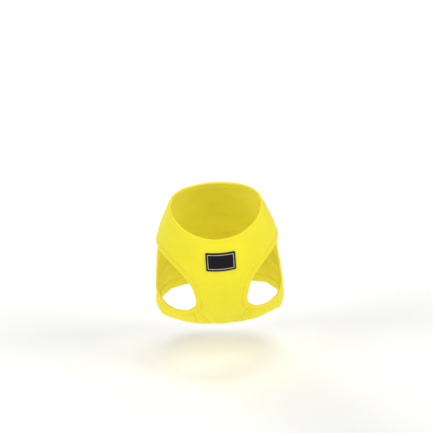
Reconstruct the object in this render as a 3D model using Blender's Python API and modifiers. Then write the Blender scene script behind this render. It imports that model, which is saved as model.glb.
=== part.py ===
"""Dog tank top, filled out and leaning as it is when worn, with its chest towards -Y.

The garment is a tube of cloth round a leaning trunk. Every place on it has two coordinates: an angle
round the trunk, 0 at the middle of the chest and 180 at the middle of the back, with +X positive, and
a distance along the trunk's centre line, from the neck towards the tail. Metres and degrees, +Z up.
The origin is on the inside of the back panel, just behind the neck edge, where the worn top is held up.
"""

import math
from collections import namedtuple

import bmesh
import bpy
import numpy as np

# Cloth thicknesses, and the gap that parts two pieces at a seam
PANEL_WALL = 0.0020
BAND_WALL = 0.0010
LABEL_WALL = 0.0010
SEAM_GAP = 0.0003
SAME_POINT = 0.000001

# The trunk's centre line is an arc: its lean above the horizontal at the neck and at the tail end
NECK_LEAN = math.radians(64)
TAIL_LEAN = math.radians(50)
TRUNK_LENGTH = 0.170
BEND = (NECK_LEAN - TAIL_LEAN) / TRUNK_LENGTH
HOLD_DISTANCE = 0.020

# Size of the tube across the centre line, at a few distances from the neck
Section = namedtuple("Section", "distance half_width chest_depth back_depth")
SECTIONS = [
    Section(-0.025, 0.0330, 0.0300, 0.0300),
    Section(-0.012, 0.0388, 0.0345, 0.0335),
    Section(0.000, 0.0436, 0.0395, 0.0375),
    Section(0.010, 0.0473, 0.0450, 0.0415),
    Section(0.020, 0.0505, 0.0500, 0.0455),
    Section(0.035, 0.0535, 0.0550, 0.0505),
    Section(0.055, 0.0550, 0.0575, 0.0545),
    Section(0.080, 0.0560, 0.0560, 0.0565),
    Section(0.100, 0.0563, 0.0530, 0.0570),
    Section(0.130, 0.0558, 0.0500, 0.0560),
    Section(0.170, 0.0530, 0.0480, 0.0530),
]

# Distances of the neck edge and of the hem at the chest, the side and the back
Edge = namedtuple("Edge", "chest side back")
NECK_EDGE = Edge(-0.0005, -0.0090, -0.0040)
HEM = Edge(0.0774, 0.1088, 0.1480)

# The armhole's outline as seen from the side: a rounded oval, its long axis dipping to the front
ARMHOLE_BACK = 0.0090
ARMHOLE_DOWN = 0.0559
ARMHOLE_HALF_LENGTH = 0.0336
ARMHOLE_HALF_HEIGHT = 0.0265
ARMHOLE_DIP = math.radians(19.4)
ARMHOLE_ROUNDNESS = 2.54
ARMHOLE_FINE_STEPS = 720

# As worn, the whole top is turned a little round the trunk, towards +X
WORN_TURN = 1.5

# Angles of the side seam at the hem and at the armhole, and of the shoulder seam's two ends, and
# the stretches of the armhole's outline, as turns seen from the side, where it meets the two seams
SIDE_SEAM_HEM = 23.6
SIDE_SEAM_ARMHOLE = 26.0
SHOULDER_SEAM_ARMHOLE = 96.0
SHOULDER_SEAM_NECK = 98.0
LOWER_FRONT_STRETCH = (math.radians(200), math.radians(262))
TOP_STRETCH = (math.radians(130), math.radians(40))
SEARCH_STEPS = 50

# Topstitched band round each armhole
BAND_WIDTH = 0.0058
BAND_STEPS = 60
BAND_STRIPS = 2

# Rectangular label on the chest
LABEL_WIDTH = 0.0255
LABEL_HEIGHT = 0.0156
LABEL_ANGLE = 0.9
LABEL_DISTANCE = 0.0150
LABEL_TURN = math.radians(1.0)
LABEL_COLUMNS = 10
LABEL_ROWS = 6

# Soft folds: where the middle lies, which way it runs from straight down the trunk, and its size
Fold = namedtuple("Fold", "angle distance turn half_length half_width height")
FOLDS = [
    Fold(-13.5, 0.0695, 38, 0.0085, 0.0032, -0.0010),
    Fold(-19.0, 0.0725, 30, 0.0080, 0.0036, 0.0007),
    Fold(-23.5, 0.0660, 12, 0.0065, 0.0045, -0.0011),
    Fold(25.0, 0.0665, -10, 0.0060, 0.0045, -0.0010),
    Fold(17.0, 0.0705, -35, 0.0080, 0.0034, -0.0006),
    Fold(-10.0, 0.0500, 3, 0.0150, 0.0032, 0.0005),
    Fold(9.0, 0.0560, -6, 0.0130, 0.0040, 0.0004),
    Fold(0.0, 0.0800, 90, 0.0330, 0.0090, -0.0015),
    Fold(0.0, 0.0010, 90, 0.0180, 0.0050, -0.0008),
    Fold(58.0, 0.0160, 72, 0.0130, 0.0045, -0.0007),
    Fold(-56.0, 0.0140, -70, 0.0140, 0.0045, -0.0007),
    Fold(50.0, 0.0850, 74, 0.0120, 0.0045, -0.0009),
    Fold(-47.0, 0.0840, -70, 0.0130, 0.0045, -0.0009),
    Fold(78.0, 0.0950, 66, 0.0150, 0.0050, 0.0012),
    Fold(-81.0, 0.0960, -68, 0.0160, 0.0050, 0.0013),
    Fold(112.0, 0.0880, 62, 0.0170, 0.0055, -0.0015),
    Fold(-110.0, 0.0900, -58, 0.0180, 0.0055, -0.0015),
    Fold(135.0, 0.0440, -50, 0.0160, 0.0060, 0.0014),
    Fold(-138.0, 0.0470, 47, 0.0150, 0.0060, 0.0014),
    Fold(139.0, 0.0710, 58, 0.0210, 0.0055, 0.0017),
    Fold(-134.0, 0.0740, -64, 0.0220, 0.0055, 0.0018),
    Fold(128.0, 0.1000, 70, 0.0190, 0.0055, 0.0015),
    Fold(-130.0, 0.1050, -66, 0.0200, 0.0055, 0.0016),
    Fold(178.0, 0.0680, 94, 0.0240, 0.0060, 0.0011),
    Fold(176.0, 0.0880, 86, 0.0300, 0.0060, -0.0016),
    Fold(184.0, 0.1020, 93, 0.0310, 0.0060, 0.0018),
    Fold(168.0, 0.1170, 97, 0.0260, 0.0055, -0.0015),
    Fold(192.0, 0.1300, 84, 0.0270, 0.0060, 0.0016),
    Fold(152.0, 0.0330, -66, 0.0180, 0.0060, -0.0010),
    Fold(-150.0, 0.0350, 70, 0.0170, 0.0060, -0.0010),
    Fold(66.0, 0.0970, 10, 0.0130, 0.0055, 0.0012),
    Fold(-63.0, 0.0960, -12, 0.0120, 0.0055, 0.0011),
    Fold(100.0, 0.1080, -8, 0.0150, 0.0060, -0.0013),
    Fold(-97.0, 0.1070, 6, 0.0160, 0.0060, -0.0014),
    Fold(130.0, 0.1270, 6, 0.0170, 0.0065, 0.0018),
    Fold(-127.0, 0.1250, -8, 0.0180, 0.0065, 0.0017),
    Fold(157.0, 0.1400, -5, 0.0160, 0.0060, -0.0014),
    Fold(-160.0, 0.1420, 4, 0.0170, 0.0060, -0.0013),
]

# Steps of the panels' grids along each edge, and where the armhole's edge turns from running up the
# trunk to running round it, as a turn seen from the side
SIDE_SEAM_ROWS = 7
SHOULDER_SEAM_ROWS = 12
CHEST_ROWS = 15
CHEST_COLUMNS = 18
STRAP_COLUMNS = 16
UNDERARM_COLUMNS = 18
BACK_ROWS = 13
BACK_COLUMNS = 26
CHEST_TURN = math.radians(148)
BACK_TURN = math.radians(335)

Finish = namedtuple("Finish", "colour roughness")
YELLOW_CLOTH = Finish((0.90, 0.78, 0.03), 0.85)
YELLOW_BAND = Finish((0.92, 0.74, 0.02), 0.80)
BLACK_PATCH = Finish((0.012, 0.012, 0.014), 0.55)


def clear_scene():
    for leftover in list(bpy.data.objects):
        bpy.data.objects.remove(leftover, do_unlink=True)


def section_size(column, distance):
    """One column of the section table at any distance, as a smooth curve through its rows."""
    stations = np.array([section.distance for section in SECTIONS])
    sizes = np.array([getattr(section, column) for section in SECTIONS])
    slopes = np.gradient(sizes, stations)
    distance = np.clip(distance, stations[0], stations[-1])
    row = np.clip(np.searchsorted(stations, distance, side="right") - 1, 0, len(stations) - 2)
    step = stations[row + 1] - stations[row]
    along = (distance - stations[row]) / step
    return (
        (2 * along**3 - 3 * along**2 + 1) * sizes[row]
        + (along**3 - 2 * along**2 + along) * step * slopes[row]
        + (3 * along**2 - 2 * along**3) * sizes[row + 1]
        + (along**3 - along**2) * step * slopes[row + 1]
    )


def depth_at(angle, distance):
    """How far the cloth lies from the centre line, on the chest's side or on the back's."""
    chest = section_size("chest_depth", distance)
    back = section_size("back_depth", distance)
    return np.where(np.cos(np.radians(angle)) > 0, chest, back)


def trunk_arc():
    """Centre, as (back, up), and radius of the arc that the trunk's centre line follows."""
    radius = 1 / BEND
    hold_lean = NECK_LEAN - BEND * HOLD_DISTANCE
    hold_depth = float(section_size("back_depth", HOLD_DISTANCE)) - PANEL_WALL
    reach = radius - hold_depth
    return reach * math.sin(hold_lean), reach * math.cos(hold_lean), radius


ARC_BACK, ARC_UP, ARC_RADIUS = trunk_arc()


def bare_surface(angle, distance):
    """Point of the smooth tube, without folds."""
    turn = np.radians(angle)
    lean = NECK_LEAN - BEND * distance
    reach = ARC_RADIUS + depth_at(angle, distance) * np.cos(turn)
    across = section_size("half_width", distance) * np.sin(turn)
    return np.stack([across, ARC_BACK - reach * np.sin(lean), ARC_UP - reach * np.cos(lean)], axis=-1)


def place_on_tube(point):
    """Angle and distance of the place on the tube that lies under a point near it."""
    back = ARC_BACK - point[..., 1]
    up = ARC_UP - point[..., 2]
    distance = (NECK_LEAN - np.arctan2(back, up)) / BEND
    towards_chest = np.hypot(back, up) - ARC_RADIUS
    side_guess = np.where(towards_chest > 0, 0.0, 180.0)
    across = point[..., 0] / section_size("half_width", distance)
    forward = towards_chest / depth_at(side_guess, distance)
    return np.degrees(np.arctan2(across, forward)), distance


def outward(angle, distance):
    """Unit vector that points out of the tube."""
    small_turn = 0.05
    small_step = 0.00005
    round_tube = bare_surface(angle + small_turn, distance) - bare_surface(angle - small_turn, distance)
    down_tube = bare_surface(angle, distance + small_step) - bare_surface(angle, distance - small_step)
    normal = np.cross(down_tube, round_tube)
    return normal / np.linalg.norm(normal, axis=-1, keepdims=True)


def fold_height(angle, distance):
    """Sum of the soft ridges and troughs, measured out of the cloth."""
    total = np.zeros(np.broadcast(angle, distance).shape)
    for fold in FOLDS:
        degrees_off = (angle - fold.angle + 180) % 360 - 180
        sideways = np.radians(degrees_off) * section_size("half_width", fold.distance)
        onward = distance - fold.distance
        turn = math.radians(fold.turn)
        along = onward * math.cos(turn) + sideways * math.sin(turn)
        across = sideways * math.cos(turn) - onward * math.sin(turn)
        shape = np.exp(-((along / fold.half_length) ** 2) - (across / fold.half_width) ** 2)
        total = total + fold.height * shape
    return total


def cloth_point(angle, distance, lift=0.0):
    """Point on the panels' outer face as worn, or a lift above it."""
    angle = angle + WORN_TURN
    height = fold_height(angle, distance) + lift
    return bare_surface(angle, distance) + outward(angle, distance) * height[..., None]


def edge_distance(edge, angle):
    """Distance of the neck edge or the hem: a slanted cut round the tube through its three places."""
    forward = np.cos(np.radians(angle))
    slant = (edge.chest - edge.back) / 2
    bow = (edge.chest + edge.back) / 2 - edge.side
    return edge.side + slant * forward + bow * forward**2


def distance_at(angle, fraction):
    """Distance at a fraction of the height from the hem, 0, to the neck edge, 1."""
    hem = edge_distance(HEM, angle)
    return hem + fraction * (edge_distance(NECK_EDGE, angle) - hem)


def fraction_at(angle, distance):
    hem = edge_distance(HEM, angle)
    return (distance - hem) / (edge_distance(NECK_EDGE, angle) - hem)


def armhole_outline(turns):
    """Angle and distance round the +X armhole, for turns in radians seen from the +X side."""
    power = 2 / ARMHOLE_ROUNDNESS
    long_way = ARMHOLE_HALF_LENGTH * np.sign(np.cos(turns)) * np.abs(np.cos(turns)) ** power
    short_way = ARMHOLE_HALF_HEIGHT * np.sign(np.sin(turns)) * np.abs(np.sin(turns)) ** power
    neck_back = ARC_BACK - ARC_RADIUS * math.sin(NECK_LEAN)
    neck_up = ARC_UP - ARC_RADIUS * math.cos(NECK_LEAN)
    back = neck_back + ARMHOLE_BACK + long_way * math.cos(ARMHOLE_DIP) - short_way * math.sin(ARMHOLE_DIP)
    up = neck_up - ARMHOLE_DOWN + long_way * math.sin(ARMHOLE_DIP) + short_way * math.cos(ARMHOLE_DIP)
    from_arc_back = ARC_BACK - back
    from_arc_up = ARC_UP - up
    distance = (NECK_LEAN - np.arctan2(from_arc_back, from_arc_up)) / BEND
    towards_chest = np.hypot(from_arc_back, from_arc_up) - ARC_RADIUS
    chest_side = np.where(towards_chest > 0, 0.0, 180.0)
    angle = np.degrees(np.arccos(towards_chest / depth_at(chest_side, distance)))
    return angle, distance


def outline_turn(wanted_angle, stretch):
    """Turn at which a stretch of the armhole's outline has an angle round the trunk."""
    low, high = stretch
    for _ in range(SEARCH_STEPS):
        middle = (low + high) / 2
        low_side = float(armhole_outline(np.array(low))[0]) - wanted_angle
        middle_side = float(armhole_outline(np.array(middle))[0]) - wanted_angle
        if low_side * middle_side > 0:
            low = middle
        else:
            high = middle
    return (low + high) / 2


def even_turns(start, end, steps):
    """Turns round the armhole whose points are evenly spaced along its edge."""
    fine = np.linspace(start, end, ARMHOLE_FINE_STEPS + 1)
    points = bare_surface(*armhole_outline(fine))
    lengths = np.concatenate([[0], np.cumsum(np.linalg.norm(np.diff(points, axis=0), axis=1))])
    return np.interp(np.linspace(0, lengths[-1], steps + 1), lengths, fine)


# The armhole meets the side seam low at the front and the shoulder seam at its top
SIDE_SEAM_TURN = outline_turn(SIDE_SEAM_ARMHOLE, LOWER_FRONT_STRETCH)
SHOULDER_SEAM_TURN = outline_turn(SHOULDER_SEAM_ARMHOLE, TOP_STRETCH)


def straight_edge(first, last, steps):
    """Places, as (angle, fraction), along a straight seam, hem or grid line."""
    return np.linspace(first, last, steps + 1)


def armhole_edge(start, end, steps):
    """Places along the +X armhole's outline between two turns."""
    angle, distance = armhole_outline(even_turns(start, end, steps))
    return np.stack([angle, fraction_at(angle, distance)], axis=-1)


def mirrored(places, middle):
    """The same edge on the other side of the chest's middle, 0, or the back's, 180."""
    return places * (-1, 1) + (2 * middle, 0)


def filled_patch(bottom, top, left, right):
    """Grid of places between four edges that meet at their ends."""
    up = np.linspace(0, 1, len(left))[:, None, None]
    over = np.linspace(0, 1, len(bottom))[None, :, None]
    between_ends = (1 - up) * bottom[None] + up * top[None]
    between_sides = (1 - over) * left[:, None] + over * right[:, None]
    low_corners = (1 - over) * bottom[0] + over * bottom[-1]
    high_corners = (1 - over) * top[0] + over * top[-1]
    return between_ends + between_sides - (1 - up) * low_corners - up * high_corners


def side_seam(shift, top):
    """Side seam from the hem up to the armhole, moved sideways by half the seam's gap."""
    hem_end = np.array([SIDE_SEAM_HEM + shift, 0.0])
    return straight_edge(hem_end, top, SIDE_SEAM_ROWS)


def gap_shift():
    """Half the seam's gap as an angle round the trunk, at the narrow end of the tube."""
    return math.degrees(SEAM_GAP / 2 / float(section_size("half_width", NECK_EDGE.side)))


def front_panel_patches():
    """Belly and chest between the armholes, then the part above them up to the neck edge."""
    shift = -gap_shift()
    low_arc = armhole_edge(SIDE_SEAM_TURN, CHEST_TURN, CHEST_ROWS)
    high_arc = armhole_edge(CHEST_TURN, SHOULDER_SEAM_TURN, STRAP_COLUMNS)
    low_arc[0, 0] += shift
    high_arc[-1, 0] += shift
    right = np.concatenate([side_seam(shift, low_arc[0]), low_arc[1:]])
    left = mirrored(right, 0)
    hem = straight_edge(left[0], right[0], CHEST_COLUMNS)
    middle = straight_edge(left[-1], right[-1], CHEST_COLUMNS)
    belly = filled_patch(hem, middle, left, right)
    bottom = np.concatenate([mirrored(high_arc, 0)[::-1], middle[1:-1], high_arc])
    neck_end = np.array([SHOULDER_SEAM_NECK + shift, 1.0])
    shoulder = straight_edge(high_arc[-1], neck_end, SHOULDER_SEAM_ROWS)
    spread = neck_end[0] / high_arc[-1, 0]
    neck = np.stack([bottom[:, 0] * spread, np.ones(len(bottom))], axis=-1)
    chest = filled_patch(bottom, neck, mirrored(shoulder, 0), shoulder)
    return belly, chest


def back_panel_patches():
    """The part under the armholes and round the lower back, then the back between the armholes."""
    shift = gap_shift()
    full_turn = 2 * math.pi
    low_arc = armhole_edge(SIDE_SEAM_TURN, BACK_TURN, UNDERARM_COLUMNS)
    high_arc = armhole_edge(BACK_TURN, SHOULDER_SEAM_TURN + full_turn, BACK_ROWS)
    low_arc[0, 0] += shift
    high_arc[-1, 0] += shift
    left = side_seam(shift, low_arc[0])
    right = mirrored(left, 180)
    middle = straight_edge(low_arc[-1], mirrored(low_arc[-1:], 180)[0], BACK_COLUMNS)
    top = np.concatenate([low_arc, middle[1:-1], mirrored(low_arc, 180)[::-1]])
    spread = (180 - left[0, 0]) / (180 - left[-1, 0])
    hem = np.stack([180 + (top[:, 0] - 180) * spread, np.zeros(len(top))], axis=-1)
    lower = filled_patch(hem, top, left, right)
    neck_end = np.array([SHOULDER_SEAM_NECK + shift, 1.0])
    side = np.concatenate([high_arc, straight_edge(high_arc[-1], neck_end, SHOULDER_SEAM_ROWS)[1:]])
    neck = straight_edge(neck_end, mirrored(neck_end[None], 180)[0], BACK_COLUMNS)
    upper = filled_patch(middle, neck, side, mirrored(side, 180))
    return lower, upper


def patch_points(patch):
    angles = patch[..., 0]
    return cloth_point(angles, distance_at(angles, patch[..., 1]))


def band_points(side):
    """Strip that lies on the panels round one armhole, from the edge out. Side is +1 or -1 in X."""
    turns = even_turns(0, 2 * math.pi, BAND_STEPS)[:-1]
    angle, distance = armhole_outline(turns)
    edge = bare_surface(angle, distance)
    normal = outward(angle, distance)
    along = np.roll(edge, -1, axis=0) - np.roll(edge, 1, axis=0)
    away = np.cross(along, normal)
    away /= np.linalg.norm(away, axis=1, keepdims=True)
    strips = []
    for strip in range(BAND_STRIPS + 1):
        reach = BAND_WIDTH * strip / BAND_STRIPS
        strip_angle, strip_distance = place_on_tube(edge + away * reach)
        strips.append(cloth_point(side * strip_angle, strip_distance, SEAM_GAP))
    points = np.stack(strips, axis=1)
    return points if side > 0 else points[::-1]


def label_points():
    """Rectangle laid on the chest, from its lower -X corner."""
    centre_angle = np.array(LABEL_ANGLE + WORN_TURN)
    centre_distance = np.array(LABEL_DISTANCE)
    centre = bare_surface(centre_angle, centre_distance)
    normal = outward(centre_angle, centre_distance)
    right = np.array([1.0, 0.0, 0.0])
    right -= normal * right.dot(normal)
    right /= np.linalg.norm(right)
    up = np.cross(normal, right)
    turned_right = right * math.cos(LABEL_TURN) + up * math.sin(LABEL_TURN)
    turned_up = up * math.cos(LABEL_TURN) - right * math.sin(LABEL_TURN)
    rows = np.linspace(-LABEL_HEIGHT / 2, LABEL_HEIGHT / 2, LABEL_ROWS + 1)[:, None, None]
    columns = np.linspace(-LABEL_WIDTH / 2, LABEL_WIDTH / 2, LABEL_COLUMNS + 1)[None, :, None]
    flat = centre + columns * turned_right + rows * turned_up
    angle, distance = place_on_tube(flat)
    return cloth_point(angle - WORN_TURN, distance, SEAM_GAP)


def finish_material(name, finish):
    material = bpy.data.materials.new(name)
    material.use_nodes = True
    shader = material.node_tree.nodes["Principled BSDF"]
    shader.inputs["Base Color"].default_value = (*finish.colour, 1.0)
    shader.inputs["Roughness"].default_value = finish.roughness
    shader.inputs["Metallic"].default_value = 0.0
    return material


def cloth_piece(name, grids, wall, outwards, material, collection, ring=False):
    """Sheet lofted through grids of points that share edges, then thickened inwards or outwards."""
    shape = bmesh.new()
    for grid in grids:
        rows, columns = grid.shape[:2]
        corners = [[shape.verts.new(point) for point in row] for row in grid]
        for row in range(rows if ring else rows - 1):
            near, far = corners[row], corners[(row + 1) % rows]
            for column in range(columns - 1):
                shape.faces.new((near[column], near[column + 1], far[column + 1], far[column]))
    bmesh.ops.remove_doubles(shape, verts=shape.verts, dist=SAME_POINT)
    mesh = bpy.data.meshes.new(name)
    shape.to_mesh(mesh)
    shape.free()
    mesh.materials.append(material)
    mesh.shade_smooth()
    piece = bpy.data.objects.new(name, mesh)
    collection.objects.link(piece)
    thicken = piece.modifiers.new("Cloth wall", "SOLIDIFY")
    thicken.thickness = wall
    thicken.offset = 1.0 if outwards else -1.0
    thicken.use_even_offset = True


def main():
    clear_scene()
    garment = bpy.data.collections.new("Dog tank top")
    bpy.context.scene.collection.children.link(garment)
    yellow = finish_material("Yellow cloth", YELLOW_CLOTH)
    band_yellow = finish_material("Yellow armhole band", YELLOW_BAND)
    black = finish_material("Black label", BLACK_PATCH)
    front = [patch_points(patch) for patch in front_panel_patches()]
    back = [patch_points(patch) for patch in back_panel_patches()]
    cloth_piece("front_panel", front, PANEL_WALL, False, yellow, garment)
    cloth_piece("back_panel", back, PANEL_WALL, False, yellow, garment)
    for side, name in ((1, "armhole_band_left"), (-1, "armhole_band_right")):
        cloth_piece(name, [band_points(side)], BAND_WALL, True, band_yellow, garment, ring=True)
    cloth_piece("chest_label", [label_points()], LABEL_WALL, True, black, garment)


main()
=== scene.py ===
"""Looks of the dog tank top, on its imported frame. Metres, +Z up, with its chest towards -Y."""

import math
from collections import namedtuple

import bpy
import numpy as np
from mathutils import Matrix, Vector


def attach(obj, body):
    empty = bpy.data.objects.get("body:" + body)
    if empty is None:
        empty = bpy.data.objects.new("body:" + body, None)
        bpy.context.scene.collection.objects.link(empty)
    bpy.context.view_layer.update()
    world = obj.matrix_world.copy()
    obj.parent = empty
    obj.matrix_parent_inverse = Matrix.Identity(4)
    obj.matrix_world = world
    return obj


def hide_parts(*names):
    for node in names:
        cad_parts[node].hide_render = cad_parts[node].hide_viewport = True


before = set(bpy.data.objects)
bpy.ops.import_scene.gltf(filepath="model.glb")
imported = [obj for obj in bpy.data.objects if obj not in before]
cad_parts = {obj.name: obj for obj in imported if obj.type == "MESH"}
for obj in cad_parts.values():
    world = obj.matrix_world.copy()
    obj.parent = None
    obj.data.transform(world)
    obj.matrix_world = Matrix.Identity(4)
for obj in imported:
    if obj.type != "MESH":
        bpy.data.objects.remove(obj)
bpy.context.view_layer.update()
bpy.ops.object.select_all(action="DESELECT")

# Studio: a plain pale floor, four wide soft lights in a pale surrounding, two from the front, one from
# above and one from behind. The camera stands before the chest, a little above it and slightly turned.
CHEST_POINT = Vector((0.0, -0.0176, -0.0573))
CAMERA_DISTANCE = 1.6
CAMERA_RISE = math.radians(15)
CAMERA_TURN = math.radians(-2.8)
AIM_ABOVE = math.radians(1.52)
AIM_ASIDE = math.radians(0.063)
CAMERA_LENS = 151.7
FLOOR_HEIGHT = -0.149
FLOOR_SIZE = 24.0
FLOOR_COLOUR = (0.975, 0.975, 0.972)
SURROUNDING_STRENGTH = 0.35


def new_material(name):
    """Node material, with its main shader."""
    material = bpy.data.materials.new(name)
    material.use_nodes = True
    return material, material.node_tree.nodes["Principled BSDF"]


camera_data = bpy.data.cameras.new("camera")
camera_data.lens = CAMERA_LENS
camera_data.sensor_width = 36.0
camera = bpy.data.objects.new("camera", camera_data)
bpy.context.scene.collection.objects.link(camera)
towards_camera = Vector((0.0, -math.cos(CAMERA_RISE), math.sin(CAMERA_RISE)))
aim = (
    Matrix.Rotation(math.pi / 2 - CAMERA_RISE, 4, "X")
    @ Matrix.Rotation(CAMERA_TURN, 4, "Z")
    @ Matrix.Rotation(AIM_ABOVE, 4, "X")
    @ Matrix.Rotation(AIM_ASIDE, 4, "Y")
)
camera.matrix_world = Matrix.Translation(CHEST_POINT + towards_camera * CAMERA_DISTANCE) @ aim
bpy.context.scene.camera = camera

SoftLight = namedtuple("SoftLight", "name direction strength")
SOFT_LIGHTS = [
    SoftLight("key light", (1.8, -1.3, 1.2), 1.20),
    SoftLight("fill light", (-1.8, -1.3, 1.1), 1.09),
    SoftLight("top light", (0.3, -0.6, 2.2), 0.84),
    SoftLight("back light", (-1.0, 1.9, 1.0), 0.85),
]
LIGHT_SPREAD = math.radians(30)
for soft_light in SOFT_LIGHTS:
    light_data = bpy.data.lights.new(soft_light.name, "SUN")
    light_data.angle = LIGHT_SPREAD
    light_data.energy = soft_light.strength
    light = bpy.data.objects.new(soft_light.name, light_data)
    bpy.context.scene.collection.objects.link(light)
    light.location = soft_light.direction
    light.rotation_euler = (-light.location).to_track_quat("-Z", "Y").to_euler()

world = bpy.data.worlds.new("studio")
world.use_nodes = True
world.node_tree.nodes["Background"].inputs["Color"].default_value = (1.0, 1.0, 1.0, 1.0)
world.node_tree.nodes["Background"].inputs["Strength"].default_value = SURROUNDING_STRENGTH
bpy.context.scene.world = world
bpy.context.scene.view_settings.view_transform = "Standard"

bpy.ops.mesh.primitive_plane_add(size=FLOOR_SIZE, location=(0.0, 0.0, FLOOR_HEIGHT))
floor = bpy.context.object
floor.name = "floor"
floor_paint, floor_shader = new_material("pale floor")
floor_shader.inputs["Base Color"].default_value = (*FLOOR_COLOUR, 1.0)
floor_shader.inputs["Roughness"].default_value = 0.9
floor_shader.inputs["Specular IOR Level"].default_value = 0.2
floor.data.materials.append(floor_paint)


# Front panel: chest and belly in one piece of smooth, stretchy yellow knit, cut on the fold. Its neck
# edge and hem are turned in, and its side and shoulder edges run into the seams with the back panel.
# The worn top is a tube round a leaning trunk: every place has an angle round it, 0 at the middle of
# the chest, and a distance along its centre line, from the neck towards the tail.
Section = namedtuple("Section", "distance half_width chest_depth back_depth")
SECTIONS = [
    Section(-0.025, 0.033, 0.03, 0.03),
    Section(-0.012, 0.0388, 0.0345, 0.0335),
    Section(0.000, 0.0436, 0.0395, 0.0375),
    Section(0.01, 0.0473, 0.045, 0.0415),
    Section(0.02, 0.0505, 0.05, 0.0455),
    Section(0.035, 0.0535, 0.055, 0.0505),
    Section(0.055, 0.055, 0.0575, 0.0545),
    Section(0.08, 0.056, 0.056, 0.0565),
    Section(0.1, 0.0563, 0.053, 0.057),
    Section(0.13, 0.0558, 0.05, 0.056),
    Section(0.17, 0.053, 0.048, 0.053),
]
SOLID_WALL = 0.0020
NECK_LEAN = math.radians(64)
TAIL_LEAN = math.radians(50)
TRUNK_LENGTH = 0.170
BEND = (NECK_LEAN - TAIL_LEAN) / TRUNK_LENGTH
HOLD_DISTANCE = 0.020

Edge = namedtuple("Edge", "chest side back")
NECK_EDGE = Edge(-0.0005, -0.0090, -0.0040)
HEM = Edge(0.0774, 0.1088, 0.1480)
WORN_TURN = 1.5

# Soft folds: where the middle lies, which way it runs from straight down the trunk, and its size
Fold = namedtuple("Fold", "angle distance turn half_length half_width height")
LARGE_FOLDS = [
    Fold(-13.5, 0.0695, 38, 0.0085, 0.0032, -0.001),
    Fold(-19.0, 0.0725, 30, 0.008, 0.0036, 0.0007),
    Fold(-23.5, 0.066, 12, 0.0065, 0.0045, -0.0011),
    Fold(25.0, 0.0665, -10, 0.006, 0.0045, -0.001),
    Fold(17.0, 0.0705, -35, 0.008, 0.0034, -0.0006),
    Fold(-10.0, 0.05, 3, 0.015, 0.0032, 0.0005),
    Fold(9.0, 0.056, -6, 0.013, 0.004, 0.0004),
    Fold(0.0, 0.08, 90, 0.033, 0.009, -0.0015),
    Fold(0.0, 0.001, 90, 0.018, 0.005, -0.0008),
    Fold(58.0, 0.016, 72, 0.013, 0.0045, -0.0007),
    Fold(-56.0, 0.014, -70, 0.014, 0.0045, -0.0007),
    Fold(50.0, 0.085, 74, 0.012, 0.0045, -0.0009),
    Fold(-47.0, 0.084, -70, 0.013, 0.0045, -0.0009),
    Fold(78.0, 0.095, 66, 0.015, 0.005, 0.0012),
    Fold(-81.0, 0.096, -68, 0.016, 0.005, 0.0013),
    Fold(112.0, 0.088, 62, 0.017, 0.0055, -0.0015),
    Fold(-110.0, 0.09, -58, 0.018, 0.0055, -0.0015),
    Fold(135.0, 0.044, -50, 0.016, 0.006, 0.0014),
    Fold(-138.0, 0.047, 47, 0.015, 0.006, 0.0014),
    Fold(139.0, 0.071, 58, 0.021, 0.0055, 0.0017),
    Fold(-134.0, 0.074, -64, 0.022, 0.0055, 0.0018),
    Fold(128.0, 0.1, 70, 0.019, 0.0055, 0.0015),
    Fold(-130.0, 0.105, -66, 0.02, 0.0055, 0.0016),
    Fold(178.0, 0.068, 94, 0.024, 0.006, 0.0011),
    Fold(176.0, 0.088, 86, 0.03, 0.006, -0.0016),
    Fold(184.0, 0.102, 93, 0.031, 0.006, 0.0018),
    Fold(168.0, 0.117, 97, 0.026, 0.0055, -0.0015),
    Fold(192.0, 0.13, 84, 0.027, 0.006, 0.0016),
    Fold(152.0, 0.033, -66, 0.018, 0.006, -0.001),
    Fold(-150.0, 0.035, 70, 0.017, 0.006, -0.001),
    Fold(66.0, 0.097, 10, 0.013, 0.0055, 0.0012),
    Fold(-63.0, 0.096, -12, 0.012, 0.0055, 0.0011),
    Fold(100.0, 0.108, -8, 0.015, 0.006, -0.0013),
    Fold(-97.0, 0.107, 6, 0.016, 0.006, -0.0014),
    Fold(130.0, 0.127, 6, 0.017, 0.0065, 0.0018),
    Fold(-127.0, 0.125, -8, 0.018, 0.0065, 0.0017),
    Fold(157.0, 0.14, -5, 0.016, 0.006, -0.0014),
    Fold(-160.0, 0.142, 4, 0.017, 0.006, -0.0013),
]
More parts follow.
